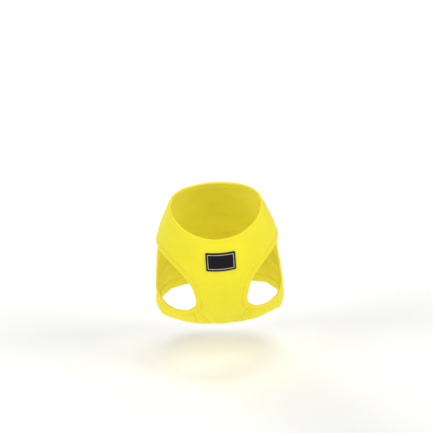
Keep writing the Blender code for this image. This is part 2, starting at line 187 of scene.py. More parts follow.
FINE_FOLDS = [
    Fold(-4.0, 0.058, -8, 0.012, 0.0022, 0.00025),
    Fold(-8.0, 0.047, 2, 0.013, 0.0011, -0.0003),
    Fold(-11.8, 0.049, -3, 0.012, 0.0011, -0.00028),
    Fold(-0.5, 0.0385, 2, 0.0045, 0.0009, -0.00022),
    Fold(2.6, 0.0392, -3, 0.005, 0.0009, -0.00022),
    Fold(-16.5, 0.0745, 36, 0.0065, 0.0016, -0.00065),
    Fold(-10.5, 0.0745, 48, 0.0075, 0.0018, -0.00042),
    Fold(21.0, 0.07, -28, 0.0065, 0.0016, -0.00065),
    Fold(12.0, 0.0755, -66, 0.008, 0.002, -0.00042),
    Fold(2.0, 0.072, 86, 0.014, 0.0026, -0.00025),
    Fold(46.0, 0.008, 78, 0.012, 0.0026, -0.0003),
    Fold(-43.0, 0.011, -74, 0.011, 0.0026, -0.0003),
    Fold(72.0, 0.013, 64, 0.01, 0.0024, -0.00035),
    Fold(-74.0, 0.011, -60, 0.011, 0.0024, -0.00035),
    Fold(30.0, 0.025, 40, 0.014, 0.003, 0.0002),
    Fold(-29.0, 0.027, -44, 0.013, 0.003, 0.0002),
    Fold(44.0, 0.088, 78, 0.011, 0.0022, 0.0004),
    Fold(-52.0, 0.09, -74, 0.012, 0.0022, 0.00045),
    Fold(84.0, 0.09, 60, 0.012, 0.0024, -0.0005),
    Fold(-82.0, 0.089, -64, 0.011, 0.0024, -0.0005),
    Fold(104.0, 0.097, 70, 0.015, 0.0025, 0.00095),
    Fold(-98.0, 0.099, -66, 0.014, 0.0028, -0.0006),
    Fold(121.0, 0.078, 48, 0.012, 0.0023, 0.0009),
    Fold(-119.0, 0.075, -52, 0.013, 0.0023, 0.0009),
    Fold(122.0, 0.058, 38, 0.013, 0.0023, -0.00095),
    Fold(-124.0, 0.056, -34, 0.014, 0.0023, -0.00095),
    Fold(117.0, 0.036, -30, 0.01, 0.0021, -0.0008),
    Fold(-119.0, 0.038, 34, 0.011, 0.0021, -0.0008),
    Fold(150.0, 0.062, 64, 0.017, 0.0023, -0.00095),
    Fold(-146.0, 0.064, -70, 0.016, 0.0023, -0.0009),
    Fold(163.0, 0.022, -72, 0.017, 0.0031, -0.00065),
    Fold(-166.0, 0.025, 76, 0.016, 0.0031, -0.00065),
    Fold(170.0, 0.05, 84, 0.02, 0.0027, 0.0007),
    Fold(160.0, 0.076, 80, 0.021, 0.0027, 0.00095),
    Fold(196.0, 0.08, 98, 0.019, 0.0025, -0.0009),
    Fold(203.0, 0.093, 100, 0.017, 0.0025, 0.00095),
    Fold(172.0, 0.096, 88, 0.02, 0.0023, 0.0007),
    Fold(190.0, 0.111, 95, 0.022, 0.0025, -0.00095),
    Fold(146.0, 0.112, 72, 0.017, 0.0025, -0.00095),
    Fold(214.0, 0.118, 106, 0.016, 0.0025, -0.0008),
    Fold(176.0, 0.124, 91, 0.023, 0.0027, 0.0008),
    Fold(187.0, 0.139, 86, 0.022, 0.0027, -0.0007),
    Fold(112.0, 0.115, 12, 0.01, 0.0021, 0.0007),
    Fold(-109.0, 0.114, -10, 0.011, 0.0021, -0.0007),
    Fold(143.0, 0.136, 8, 0.011, 0.0023, -0.0007),
    Fold(-143.0, 0.136, -6, 0.012, 0.0023, 0.0007),
]


def section_size(column, distance):
    """One column of the section table at any distance, as a smooth curve through its rows."""
    stations = np.array([section.distance for section in SECTIONS])
    sizes = np.array([getattr(section, column) for section in SECTIONS])
    slopes = np.gradient(sizes, stations)
    distance = np.clip(distance, stations[0], stations[-1])
    row = np.clip(np.searchsorted(stations, distance, side="right") - 1, 0, len(stations) - 2)
    step = stations[row + 1] - stations[row]
    along = (distance - stations[row]) / step
    return (
        (2 * along**3 - 3 * along**2 + 1) * sizes[row]
        + (along**3 - 2 * along**2 + along) * step * slopes[row]
        + (3 * along**2 - 2 * along**3) * sizes[row + 1]
        + (along**3 - along**2) * step * slopes[row + 1]
    )


def depth_at(angle, distance):
    chest = section_size("chest_depth", distance)
    back = section_size("back_depth", distance)
    return np.where(np.cos(np.radians(angle)) > 0, chest, back)


ARC_RADIUS = 1 / BEND
HOLD_LEAN = NECK_LEAN - BEND * HOLD_DISTANCE
HOLD_REACH = ARC_RADIUS - float(section_size("back_depth", HOLD_DISTANCE)) + SOLID_WALL
ARC_BACK = HOLD_REACH * math.sin(HOLD_LEAN)
ARC_UP = HOLD_REACH * math.cos(HOLD_LEAN)


def bare_surface(angle, distance):
    """Point of the smooth tube, without folds."""
    turn = np.radians(angle)
    lean = NECK_LEAN - BEND * distance
    reach = ARC_RADIUS + depth_at(angle, distance) * np.cos(turn)
    across = section_size("half_width", distance) * np.sin(turn)
    return np.stack([across, ARC_BACK - reach * np.sin(lean), ARC_UP - reach * np.cos(lean)], axis=-1)


def place_on_tube(point):
    """Angle and distance of the place on the tube that lies under a point near it."""
    back = ARC_BACK - point[..., 1]
    up = ARC_UP - point[..., 2]
    distance = (NECK_LEAN - np.arctan2(back, up)) / BEND
    towards_chest = np.hypot(back, up) - ARC_RADIUS
    side_guess = np.where(towards_chest > 0, 0.0, 180.0)
    across = point[..., 0] / section_size("half_width", distance)
    forward = towards_chest / depth_at(side_guess, distance)
    return np.degrees(np.arctan2(across, forward)), distance


def unit(vectors):
    return vectors / np.linalg.norm(vectors, axis=-1, keepdims=True)


def outward(angle, distance):
    """Unit vector that points out of the tube."""
    small_turn = 0.05
    small_step = 0.00005
    round_tube = bare_surface(angle + small_turn, distance) - bare_surface(angle - small_turn, distance)
    down_tube = bare_surface(angle, distance + small_step) - bare_surface(angle, distance - small_step)
    return unit(np.cross(down_tube, round_tube))


def fold_height(angle, distance, folds):
    total = np.zeros(np.broadcast(angle, distance).shape)
    for fold in folds:
        degrees_off = (angle - fold.angle + 180) % 360 - 180
        sideways = np.radians(degrees_off) * section_size("half_width", fold.distance)
        onward = distance - fold.distance
        turn = math.radians(fold.turn)
        along = onward * math.cos(turn) + sideways * math.sin(turn)
        across = sideways * math.cos(turn) - onward * math.sin(turn)
        shape = np.exp(-((along / fold.half_length) ** 2) - (across / fold.half_width) ** 2)
        total = total + fold.height * shape
    return total


def edge_distance(edge, angle):
    """Distance of the neck edge or the hem: a slanted cut round the tube through its three places."""
    forward = np.cos(np.radians(angle))
    slant = (edge.chest - edge.back) / 2
    bow = (edge.chest + edge.back) / 2 - edge.side
    return edge.side + slant * forward + bow * forward**2


def distance_at(angle, fraction):
    """Distance at a fraction of the height from the hem, 0, to the neck edge, 1."""
    hem = edge_distance(HEM, angle)
    return hem + fraction * (edge_distance(NECK_EDGE, angle) - hem)


def fraction_at(angle, distance):
    hem = edge_distance(HEM, angle)
    return (distance - hem) / (edge_distance(NECK_EDGE, angle) - hem)


# The armhole is a rounded oval as seen from the side, its long axis dipping to the front
ARMHOLE_BACK = 0.0090
ARMHOLE_DOWN = 0.0559
ARMHOLE_HALF_LENGTH = 0.0336
ARMHOLE_HALF_HEIGHT = 0.0265
ARMHOLE_DIP = math.radians(19.4)
ARMHOLE_ROUNDNESS = 2.54
PANEL_CUT_BACK = 0.0014
SIDE_SEAM_HEM = 23.6
SIDE_SEAM_ARMHOLE = 26.0
SHOULDER_SEAM_ARMHOLE = 96.0
SHOULDER_SEAM_NECK = 98.0
LOWER_FRONT_STRETCH = (math.radians(200), math.radians(262))
TOP_STRETCH = (math.radians(130), math.radians(40))
SEAM_GAP = 0.0001
FINE_TURNS = 1441
HALVINGS = 50


def armhole_outline(turns):
    """Angle and distance round the +X armhole, for turns in radians seen from the +X side."""
    power = 2 / ARMHOLE_ROUNDNESS
    long_way = ARMHOLE_HALF_LENGTH * np.sign(np.cos(turns)) * np.abs(np.cos(turns)) ** power
    short_way = ARMHOLE_HALF_HEIGHT * np.sign(np.sin(turns)) * np.abs(np.sin(turns)) ** power
    neck_back = ARC_BACK - ARC_RADIUS * math.sin(NECK_LEAN)
    neck_up = ARC_UP - ARC_RADIUS * math.cos(NECK_LEAN)
    back = neck_back + ARMHOLE_BACK + long_way * math.cos(ARMHOLE_DIP) - short_way * math.sin(ARMHOLE_DIP)
    up = neck_up - ARMHOLE_DOWN + long_way * math.sin(ARMHOLE_DIP) + short_way * math.cos(ARMHOLE_DIP)
    from_arc_back = ARC_BACK - back
    from_arc_up = ARC_UP - up
    distance = (NECK_LEAN - np.arctan2(from_arc_back, from_arc_up)) / BEND
    towards_chest = np.hypot(from_arc_back, from_arc_up) - ARC_RADIUS
    chest_side = np.where(towards_chest > 0, 0.0, 180.0)
    angle = np.degrees(np.arccos(towards_chest / depth_at(chest_side, distance)))
    return angle, distance


def lengths_along(points):
    """Length of a line from its first point to each of its points."""
    return np.concatenate([[0], np.cumsum(np.linalg.norm(np.diff(points, axis=0), axis=1))])


def length_round(points):
    """Length of a closed line."""
    return np.linalg.norm(points - np.roll(points, 1, axis=0), axis=1).sum()


def even_turns(start, end, steps):
    """Turns round the armhole whose points are evenly spaced along its edge."""
    fine = np.linspace(start, end, FINE_TURNS)
    lengths = lengths_along(bare_surface(*armhole_outline(fine)))
    return np.interp(np.linspace(0, lengths[-1], steps + 1), lengths, fine)


def beside_armhole(turns, reach):
    """Angle and distance of places that lie a reach outside the armhole's edge, on the cloth."""
    small_turn = 0.01
    edge = bare_surface(*armhole_outline(turns))
    along = bare_surface(*armhole_outline(turns + small_turn))
    along = along - bare_surface(*armhole_outline(turns - small_turn))
    away = unit(np.cross(along, outward(*armhole_outline(turns))))
    return place_on_tube(edge + away * reach)


def seam_turn(wanted_angle, stretch):
    """Turn at which a stretch of the armhole's edge meets a seam."""
    low, high = stretch
    for _ in range(HALVINGS):
        middle = (low + high) / 2
        low_side = float(armhole_outline(np.array(low))[0]) - wanted_angle
        middle_side = float(armhole_outline(np.array(middle))[0]) - wanted_angle
        if low_side * middle_side > 0:
            low = middle
        else:
            high = middle
    return (low + high) / 2


SIDE_SEAM_TURN = seam_turn(SIDE_SEAM_ARMHOLE, LOWER_FRONT_STRETCH)
SHOULDER_SEAM_TURN = seam_turn(SHOULDER_SEAM_ARMHOLE, TOP_STRETCH)
CHEST_TURN = math.radians(148)
BACK_TURN = math.radians(335)
FULL_TURN = 2 * math.pi

# The seams sink a little between the panels, the cut edges lie pressed under the armhole bands, the
# cloth puckers beside them, and faint ripples run all over it
SEAM_SINK = 0.00055
SEAM_SINK_WIDTH = 0.0013
SEAM_FADE = 0.0030
SEAM_FADE_SHARE = 0.7
NECK_STITCH_ROWS = (0.0054, 0.0078)
HEM_STITCH_ROWS = (0.0072, 0.0096)
GROOVE_DEPTH = 0.00013
GROOVE_WIDTH = 0.0007
PUCKER_HEIGHT = 0.00012
PUCKER_REACH = 0.0075
PUCKER_PITCH = 0.0052
BAND_REACH = 0.0063
PUCKER_START = 0.6 * BAND_REACH
BAND_SINK = 0.00050
BAND_SINK_WIDTH = 0.0009
ARMHOLE_MARKS = 240
RIPPLE_HEIGHT = 0.00006
Wave = namedtuple("Wave", "per_degree per_metre start")
FIRST_WAVE = Wave(0.31, 170, 0.0)
CROSSING_WAVE = Wave(-0.12, 260, 0.0)
LONG_WAVE = Wave(0.17, -230, 1.3)
SIDE_SEAM_TOP = float(fraction_at(*armhole_outline(np.array(SIDE_SEAM_TURN))))
SHOULDER_SEAM_LOW = float(fraction_at(*armhole_outline(np.array(SHOULDER_SEAM_TURN))))


def seam_offset(angle, distance):
    """How far a place lies from the nearer seam, measured round the tube, positive on the back panel."""
    fraction = fraction_at(angle, distance)
    off_middle = np.abs((angle + 180) % 360 - 180)
    side_line = SIDE_SEAM_HEM + (SIDE_SEAM_ARMHOLE - SIDE_SEAM_HEM) * fraction / SIDE_SEAM_TOP
    climb = (fraction - SHOULDER_SEAM_LOW) / (1 - SHOULDER_SEAM_LOW)
    shoulder_line = SHOULDER_SEAM_ARMHOLE + (SHOULDER_SEAM_NECK - SHOULDER_SEAM_ARMHOLE) * climb
    line = np.where(fraction < (SIDE_SEAM_TOP + SHOULDER_SEAM_LOW) / 2, side_line, shoulder_line)
    return np.radians(off_middle - line) * section_size("half_width", distance)


def armhole_offset(angle, distance):
    """Distance of places from the nearer armhole's edge, and how far round that edge they lie."""
    turns = even_turns(0, FULL_TURN, ARMHOLE_MARKS)[:-1]
    edge = bare_surface(*armhole_outline(turns))
    points = bare_surface(np.abs((angle + 180) % 360 - 180), distance)
    nearest = np.full(points.shape[:-1], 1.0)
    which = np.zeros(points.shape[:-1], int)
    for number, place in enumerate(edge):
        away = np.linalg.norm(points - place, axis=-1)
        which = np.where(away < nearest, number, which)
        nearest = np.minimum(away, nearest)
    return nearest, which * length_round(edge) / len(edge)


def wave_at(wave, angle, distance):
    return np.sin(wave.per_degree * angle + wave.per_metre * distance + wave.start)


def cloth_height(angle, distance):
    """All the folds and ripples of the worn cloth, without its seams."""
    ripple = wave_at(FIRST_WAVE, angle, distance) * wave_at(CROSSING_WAVE, angle, distance)
    ripple = ripple + wave_at(LONG_WAVE, angle, distance)
    folds = fold_height(angle, distance, LARGE_FOLDS) + fold_height(angle, distance, FINE_FOLDS)
    return folds + RIPPLE_HEIGHT * ripple


def cloth_outward(angle, distance):
    """Unit vector out of the cloth of the worn top, which is turned a little round the trunk."""
    return outward(angle + WORN_TURN, distance)


def cloth_point(angle, distance, lift=0.0):
    """Point on the outer face of the worn top, or a lift above it."""
    worn_angle = angle + WORN_TURN
    height = cloth_height(worn_angle, distance) + lift
    return bare_surface(worn_angle, distance) + outward(worn_angle, distance) * height[..., None]


def smooth_step(amount):
    """Smooth rise from 0 to 1 while the amount goes from 0 to 1."""
    amount = np.clip(amount, 0, 1)
    return amount * amount * (3 - 2 * amount)


def panel_lift(angle, distance):
    """Seams, stitched grooves and puckers of the two panels, on top of the folds."""
    from_hem = edge_distance(HEM, angle) - distance
    from_neck = distance - edge_distance(NECK_EDGE, angle)
    from_edge = np.minimum(from_hem, from_neck)
    sink = -SEAM_SINK * np.exp(-((seam_offset(angle, distance) / SEAM_SINK_WIDTH) ** 2))
    sink = sink * (1 - SEAM_FADE_SHARE * np.exp(-((from_edge / SEAM_FADE) ** 2)))
    for from_line, rows in ((from_neck, NECK_STITCH_ROWS), (from_hem, HEM_STITCH_ROWS)):
        for row in rows:
            sink = sink - GROOVE_DEPTH * np.exp(-(((from_line - row) / GROOVE_WIDTH) ** 2))
    reach, along = armhole_offset(angle, distance)
    fading = np.exp(-(((reach - BAND_REACH) / PUCKER_REACH) ** 2)) * (reach > PUCKER_START)
    pucker = PUCKER_HEIGHT * fading * np.sin(2 * math.pi * along / PUCKER_PITCH)
    return sink + pucker - BAND_SINK * smooth_step((BAND_REACH - reach) / BAND_SINK_WIDTH)


# Thickness of the cloth, and of the turned hem and neck edge and the pressed seams on its inside
CLOTH_WALL = 0.0011
TURNED_WALL = 0.0009
SEAM_WALL = 0.0006
NECK_TURNING = 0.0085
HEM_TURNING = 0.0105
SEAM_TURNING = 0.0050
SEAM_EDGE_REACH = 0.0006
RAW_EDGE_WIDTH = 0.0008


def panel_wall(angle, distance):
    over_hem = HEM_TURNING - edge_distance(HEM, angle) + distance
    over_neck = NECK_TURNING - distance + edge_distance(NECK_EDGE, angle)
    over_seam = SEAM_TURNING - np.abs(seam_offset(angle, distance))
    turned = smooth_step(np.maximum(over_hem, over_neck) / RAW_EDGE_WIDTH)
    return CLOTH_WALL + TURNED_WALL * turned + SEAM_WALL * smooth_step(over_seam / RAW_EDGE_WIDTH)


def straight_edge(first, last, steps):
    """Places, as (angle, fraction), along a straight seam, hem or grid line."""
    return np.linspace(first, last, steps + 1)


def armhole_edge(start, end, steps):
    """Places along the panels' cut round the +X armhole, just under the band's rim."""
    angle, distance = beside_armhole(even_turns(start, end, steps), PANEL_CUT_BACK)
    return np.stack([angle, fraction_at(angle, distance)], axis=-1)


def mirrored(places, middle):
    """The same edge on the other side of the chest's middle, 0, or the back's, 180."""
    return places * (-1, 1) + (2 * middle, 0)


def filled_patch(bottom, top, left, right):
    """Grid of places between four edges that meet at their ends."""
    up = np.linspace(0, 1, len(left))[:, None, None]
    over = np.linspace(0, 1, len(bottom))[None, :, None]
    between_ends = (1 - up) * bottom[None] + up * top[None]
    between_sides = (1 - over) * left[:, None] + over * right[:, None]
    low_corners = (1 - over) * bottom[0] + over * bottom[-1]
    high_corners = (1 - over) * top[0] + over * top[-1]
    return between_ends + between_sides - (1 - up) * low_corners - up * high_corners


def grid_faces(number):
    """Four-sided faces between the neighbours in a grid of numbered points."""
    corners = (number[:-1, :-1], number[:-1, 1:], number[1:, 1:], number[1:, :-1])
    return np.stack(corners, axis=-1).reshape(-1, 4)


def joined_patches(patches):
    """One list of places and one of four-sided faces, for patches that share their edges."""
    places = []
    faces = []
    known = {}
    for patch in patches:
        rows, columns = patch.shape[:2]
        number = np.empty((rows, columns), int)
        for row in range(rows):
            for column in range(columns):
                place = patch[row, column]
                key = (round(float(place[0]), 5), round(float(place[1]), 7))
                if key not in known:
                    known[key] = len(places)
                    places.append(place)
                number[row, column] = known[key]
        faces.append(grid_faces(number))
    return np.array(places), np.concatenate(faces)


def new_piece(name, points, faces, material):
    """Smooth object from lists of points and faces."""
    mesh = bpy.data.meshes.new(name)
    mesh.from_pydata(points.tolist(), [], faces)
    mesh.materials.append(material)
    mesh.shade_smooth()
    piece = bpy.data.objects.new(name, mesh)
    bpy.context.scene.collection.objects.link(piece)
    return piece


EDGE_STEPS = 4


def cloth_sheet(name, points, normals, faces, wall, edge_roll, pattern, material):
    """Closed shell: an outer face, an inner face a wall behind it, and a rolled edge all round."""
    points = points.reshape(-1, 3)
    normals = normals.reshape(-1, 3)
    pattern = pattern.reshape(-1, 2)
    wall = np.broadcast_to(wall, len(points))
    edge_roll = np.broadcast_to(edge_roll, len(points))
    following = {}
    for face in faces:
        for corner in range(4):
            following[(int(face[corner]), int(face[(corner + 1) % 4]))] = True
    border = {start: end for start, end in following if (end, start) not in following}
    starts = np.array(sorted(border))
    ends = np.array([border[start] for start in starts])
    before = dict(zip(ends.tolist(), starts.tolist()))
    earlier = np.array([before[start] for start in starts])
    away = unit(np.cross(points[ends] - points[earlier], normals[starts]))
    inner = points - normals * wall[:, None]
    half = wall[starts][:, None] / 2
    middle = points[starts] - normals[starts] * half
    rings = [starts]
    shell = [points, inner]
    shell_pattern = [pattern, pattern]
    for step in range(1, EDGE_STEPS):
        turn = math.pi * step / EDGE_STEPS
        roll = edge_roll[starts][:, None] * math.sin(turn)
        shell.append(middle + half * (math.cos(turn) * normals[starts] + roll * away))
        shell_pattern.append(pattern[starts])
        rings.append(2 * len(points) + (step - 1) * len(starts) + np.arange(len(starts)))
    rings.append(starts + len(points))
    place_in_ring = {start: order for order, start in enumerate(starts.tolist())}
    end_places = np.array([place_in_ring[end] for end in ends.tolist()])
    shell_faces = [faces, faces[:, ::-1] + len(points)]
    for near, far in zip(rings[:-1], rings[1:]):
        shell_faces.append(np.stack([near[end_places], near, far, far[end_places]], axis=-1))
    piece = new_piece(name, np.concatenate(shell), np.concatenate(shell_faces).tolist(), material)
    layer = piece.data.uv_layers.new(name="cloth")
    corner_points = np.empty(len(piece.data.loops), int)
    piece.data.loops.foreach_get("vertex_index", corner_points)
    layer.data.foreach_set("uv", np.concatenate(shell_pattern)[corner_points].ravel())
    return piece


def colour_between(material, shader, factor, low_colour, high_colour):
    """Colour ramp between two colours that sets the colour of a material."""
    tone = material.node_tree.nodes.new("ShaderNodeValToRGB")
    tone.color_ramp.elements[0].color = (*low_colour, 1.0)
    tone.color_ramp.elements[1].color = (*high_colour, 1.0)
    material.node_tree.links.new(factor, tone.inputs["Fac"])
    material.node_tree.links.new(tone.outputs["Color"], shader.inputs["Base Color"])
    return tone.color_ramp


def wave_texture(material, place, direction, scale, distortion):
    wave = material.node_tree.nodes.new("ShaderNodeTexWave")
    wave.bands_direction = direction
    wave.inputs["Scale"].default_value = scale
    wave.inputs["Distortion"].default_value = distortion
    material.node_tree.links.new(place, wave.inputs["Vector"])
    return wave


def relief(material, shader, height, strength, depth):
    """Bump of a material, from the height that a node gives."""
    bump = material.node_tree.nodes.new("ShaderNodeBump")
    bump.inputs["Strength"].default_value = strength
    bump.inputs["Distance"].default_value = depth
    material.node_tree.links.new(height, bump.inputs["Height"])
    material.node_tree.links.new(bump.outputs["Normal"], shader.inputs["Normal"])


def knit_material(name, colour, deep_colour, knit_depth):
    """Matte stretch knit: soft patches of two close colours, and fine ribs that follow the cloth."""
    material, shader = new_material(name)
    nodes = material.node_tree.nodes
    links = material.node_tree.links
    shader.inputs["Roughness"].default_value = 0.86
    shader.inputs["Specular IOR Level"].default_value = 0.25
    shader.inputs["Sheen Weight"].default_value = 0.22
    shader.inputs["Sheen Roughness"].default_value = 0.45
    shader.inputs["Sheen Tint"].default_value = (1.0, 0.95, 0.55, 1.0)

    place = nodes.new("ShaderNodeTexCoord")
    patches = nodes.new("ShaderNodeTexNoise")
    patches.inputs["Scale"].default_value = 38.0
    patches.inputs["Detail"].default_value = 4.0
    links.new(place.outputs["Object"], patches.inputs["Vector"])
    tone = colour_between(material, shader, patches.outputs["Fac"], deep_colour, colour)
    tone.elements[0].position = 0.36
    tone.elements[1].position = 0.62

    weave_place = nodes.new("ShaderNodeUVMap")
    weave_place.uv_map = "cloth"
    ribs = wave_texture(material, weave_place.outputs["UV"], "X", scale=260.0, distortion=0.6)
    ribs.inputs["Detail Scale"].default_value = 2.0
    rows = wave_texture(material, weave_place.outputs["UV"], "Y", scale=340.0, distortion=0.8)
    fuzz = nodes.new("ShaderNodeTexNoise")
    fuzz.inputs["Scale"].default_value = 2600.0
    fuzz.inputs["Detail"].default_value = 2.0
    loops = nodes.new("ShaderNodeMath")
    loops.operation = "MULTIPLY_ADD"
    loops.inputs[1].default_value = 0.45
    height = nodes.new("ShaderNodeMath")
    height.operation = "MULTIPLY_ADD"
    height.inputs[1].default_value = 0.35
    links.new(weave_place.outputs["UV"], fuzz.inputs["Vector"])
    links.new(rows.outputs["Fac"], loops.inputs[0])
    links.new(ribs.outputs["Fac"], loops.inputs[2])
    links.new(fuzz.outputs["Fac"], height.inputs[0])
    links.new(loops.outputs["Value"], height.inputs[2])
    relief(material, shader, height.outputs["Value"], 0.5, knit_depth)
    return material


PATTERN_RADIUS = 0.050
SEAM_EDGE_ROLL = 0.1
FREE_EDGE_ROLL = 0.9


def panel_piece(name, patches, material):
    """One panel: its patches laid on the worn form, with seam edges flat and other edges rolled."""
    places, faces = joined_patches(patches)
    angle = places[:, 0]
    distance = distance_at(angle, places[:, 1])
    points = cloth_point(angle, distance, panel_lift(angle, distance))
    on_seam = np.abs(seam_offset(angle, distance)) < SEAM_EDGE_REACH
    edge_roll = np.where(on_seam, SEAM_EDGE_ROLL, FREE_EDGE_ROLL)
    pattern = np.stack([np.radians(angle) * PATTERN_RADIUS, distance], axis=-1)
    wall = panel_wall(angle, distance)
    normals = cloth_outward(angle, distance)
    return cloth_sheet(name, points, normals, faces, wall, edge_roll, pattern, material)


SIDE_SEAM_ROWS = 56
SHOULDER_SEAM_ROWS = 56
CHEST_ROWS = 62
CHEST_COLUMNS = 60
STRAP_COLUMNS = 78
GAP_TURN = math.degrees(SEAM_GAP / 2 / float(section_size("half_width", NECK_EDGE.side)))


def side_seam(shift, top):
    """Side seam from the hem up to the armhole, moved sideways by half the seam's gap."""
    return straight_edge(np.array([SIDE_SEAM_HEM + shift, 0.0]), top, SIDE_SEAM_ROWS)


chest_arc = armhole_edge(SIDE_SEAM_TURN, CHEST_TURN, CHEST_ROWS)
strap_arc = armhole_edge(CHEST_TURN, SHOULDER_SEAM_TURN, STRAP_COLUMNS)
chest_arc[0, 0] -= GAP_TURN
strap_arc[-1, 0] -= GAP_TURN
chest_side = np.concatenate([side_seam(-GAP_TURN, chest_arc[0]), chest_arc[1:]])
front_hem = straight_edge(mirrored(chest_side, 0)[0], chest_side[0], CHEST_COLUMNS)
chest_line = straight_edge(mirrored(chest_side, 0)[-1], chest_side[-1], CHEST_COLUMNS)
belly = filled_patch(front_hem, chest_line, mirrored(chest_side, 0), chest_side)
strap_line = np.concatenate([mirrored(strap_arc, 0)[::-1], chest_line[1:-1], strap_arc])
shoulder_top = np.array([SHOULDER_SEAM_NECK - GAP_TURN, 1.0])
shoulder = straight_edge(strap_arc[-1], shoulder_top, SHOULDER_SEAM_ROWS)
neck_spread = shoulder_top[0] / strap_arc[-1, 0]
front_neck = np.stack([strap_line[:, 0] * neck_spread, np.ones(len(strap_line))], axis=-1)
chest = filled_patch(strap_line, front_neck, mirrored(shoulder, 0), shoulder)

# Double rows of stitches in yellow thread hold the turned neck edge and hem
STITCH_PITCH = 0.0025
STITCH_LENGTH = 0.0018
STITCH_RADIUS = 0.00015
EDGE_STITCH_LIFT = 0.00007
STITCH_SIDES = 6
STITCH_RINGS = 5
STITCH_DIVE = 0.00012
STITCH_END_START = 0.9
THREAD_SHADE = 0.75
THREAD_DEPTH = 0.00005
FINE_MARKS = 2001


def stitch_form(length):
    """Points and faces of one stitch along X: a short round thread whose ends dive into the cloth."""
    bpy.ops.object.select_all(action="DESELECT")
    bpy.ops.mesh.primitive_uv_sphere_add(
        segments=STITCH_SIDES, ring_count=STITCH_RINGS, radius=STITCH_RADIUS
    )
    form = bpy.context.object
    bpy.ops.object.mode_set(mode="EDIT")
    bpy.ops.mesh.select_all(action="SELECT")
    quarter = math.pi / 2
    bpy.ops.transform.rotate(value=quarter, orient_axis="Y", center_override=(0.0, 0.0, 0.0))
    bpy.ops.transform.resize(value=(length / 2 / STITCH_RADIUS, 1, 1), center_override=(0.0, 0.0, 0.0))
    bpy.ops.object.mode_set(mode="OBJECT")
    for vertex in form.data.vertices:
        vertex.select = abs(vertex.co.x) > length / 2 * STITCH_END_START
    bpy.ops.object.mode_set(mode="EDIT")
    bpy.ops.transform.translate(value=(0, 0, -STITCH_DIVE))
    bpy.ops.object.mode_set(mode="OBJECT")
    points = np.array([vertex.co for vertex in form.data.vertices])
    faces = [tuple(face.vertices) for face in form.data.polygons]
    bpy.data.objects.remove(form)
    return points, faces


def stitch_row(name, centres, along, up, length, material):
    """Row of copies of one stitch, each lying along the row and half sunk in the cloth."""
    along = unit(along)
    across = unit(np.cross(up, along))
    points, faces = stitch_form(length)
    all_points = (
        centres[:, None]
        + points[None, :, :1] * along[:, None]
        + points[None, :, 1:2] * across[:, None]
        + points[None, :, 2:] * up[:, None]
    )
    all_faces = []
    for stitch in range(len(centres)):
        start = stitch * len(points)
        all_faces += [tuple(start + corner for corner in face) for face in faces]
    return new_piece(name, all_points.reshape(-1, 3), all_faces, material)


def thread_material(name, colour):
    """Twisted sewing thread with a slight gloss."""
    material, shader = new_material(name)
    nodes = material.node_tree.nodes
    links = material.node_tree.links
    shader.inputs["Roughness"].default_value = 0.55
    shader.inputs["Sheen Weight"].default_value = 0.3
    place = nodes.new("ShaderNodeTexCoord")
    strands = nodes.new("ShaderNodeTexNoise")
    strands.inputs["Scale"].default_value = 3200.0
    links.new(place.outputs["Object"], strands.inputs["Vector"])
    shaded_colour = [channel * THREAD_SHADE for channel in colour]
    colour_between(material, shader, strands.outputs["Fac"], shaded_colour, colour)
    relief(material, shader, strands.outputs["Fac"], 0.4, THREAD_DEPTH)
    return material


def edge_rows(edge, onward, insets, first_angle, last_angle):
    """Places and directions of the stitches in rows beside the neck edge or the hem of a panel."""
    centres = []
    along = []
    up = []
    for inset in insets:
        fine = np.linspace(first_angle, last_angle, FINE_MARKS)
        line = cloth_point(fine, edge_distance(edge, fine) + onward * inset)
        lengths = lengths_along(line)
        count = round(lengths[-1] / STITCH_PITCH)
        angle = np.interp((np.arange(count) + 0.5) * lengths[-1] / count, lengths, fine)
        distance = edge_distance(edge, angle) + onward * inset
        points = cloth_point(angle, distance, panel_lift(angle, distance) + EDGE_STITCH_LIFT)
        centres.append(points)
        along.append(np.gradient(points, axis=0))
        up.append(cloth_outward(angle, distance))
    return centres, along, up


def panel_topstitch(name, seam_at_neck, seam_at_hem, middle, material):
    """Both double rows of a panel, beside its neck edge and its hem, from seam to seam."""
    neck = edge_rows(NECK_EDGE, 1, NECK_STITCH_ROWS, seam_at_neck, 2 * middle - seam_at_neck)
    hem = edge_rows(HEM, -1, HEM_STITCH_ROWS, seam_at_hem, 2 * middle - seam_at_hem)
    centres, along, up = (np.concatenate(near_neck + near_hem) for near_neck, near_hem in zip(neck, hem))
    topstitch = stitch_row(name, centres, along, up, STITCH_LENGTH, material)
    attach(topstitch, "root")
    return topstitch


YELLOW = (0.860, 0.765, 0.028)
DEEP_YELLOW = (0.835, 0.730, 0.026)
KNIT_DEPTH = 0.00006
EDGE_THREAD_YELLOW = (0.835, 0.715, 0.030)
yellow_knit = knit_material("yellow knit", YELLOW, DEEP_YELLOW, KNIT_DEPTH)
edge_thread = thread_material("yellow edge thread", EDGE_THREAD_YELLOW)
front_cloth = panel_piece("front_cloth", [belly, chest], yellow_knit)
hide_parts("front_panel")
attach(front_cloth, "root")
front_topstitch = panel_topstitch("front_topstitch", -SHOULDER_SEAM_NECK, -SIDE_SEAM_HEM, 0, edge_thread)


# Back panel: one piece of the same knit that wraps the ribs and the back from side seam to side seam,
# under both armholes. It is longer than the front, its hem and neck edge are turned in the same way,
# and it is sewn to the front panel at the sides and on the shoulders.
UNDERARM_COLUMNS = 78
BACK_ROWS = 56
BACK_COLUMNS = 124

